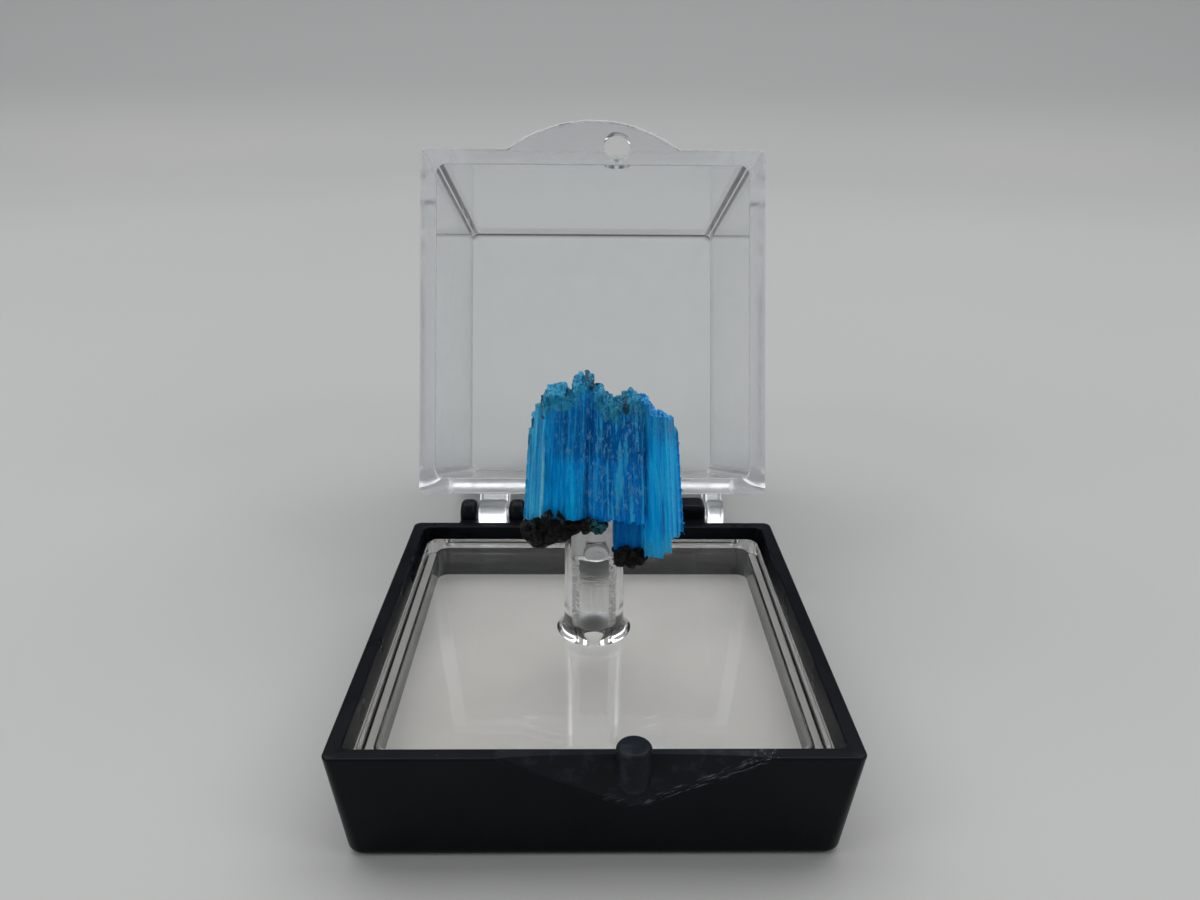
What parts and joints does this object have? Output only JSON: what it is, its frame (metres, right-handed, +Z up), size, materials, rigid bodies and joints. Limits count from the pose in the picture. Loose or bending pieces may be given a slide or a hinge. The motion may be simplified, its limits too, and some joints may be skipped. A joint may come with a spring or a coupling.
{
  "type": "chalcanthite specimen on a post in a hinged box",
  "caption": "Blue columnar chalcanthite with dark matrix, glued to the post of a clear stand in a small black tray whose clear lid stands open on its hinge.",
  "frame": {"origin": "middle of the tray's flat underside", "axes": "+Z up, out of the tray; -Y towards the latch pin at the front; +X to the right seen from the front, along the hinge"},
  "size_m": [0.0318, 0.0721, 0.0416],
  "materials": {
    "black_plastic": "moulded, semi-gloss, lightly scratched",
    "clear_plastic": "clear, polished",
    "white_card": "matt, with small dark specks",
    "clear_glue": "clear, set in drops",
    "blue_crystal": "vitreous, finely striated, translucent",
    "dark_matrix": "rough, earthy, near black"
  },
  "bodies": {
    "box": {"tray": "black_plastic", "card": "white_card", "stand": "clear_plastic", "glue": "clear_glue", "crystal": "blue_crystal", "matrix_left": "dark_matrix", "matrix_right": "dark_matrix"},
    "lid": {"lid": "clear_plastic"}
  },
  "joints": [
    {"name": "lid_hinge", "type": "hinge", "parent": "box", "child": "lid", "pos_m": [0, 0.01767, 0.0079], "axis": [1, 0, 0], "range_deg": [0, 111.4]}
  ]
}
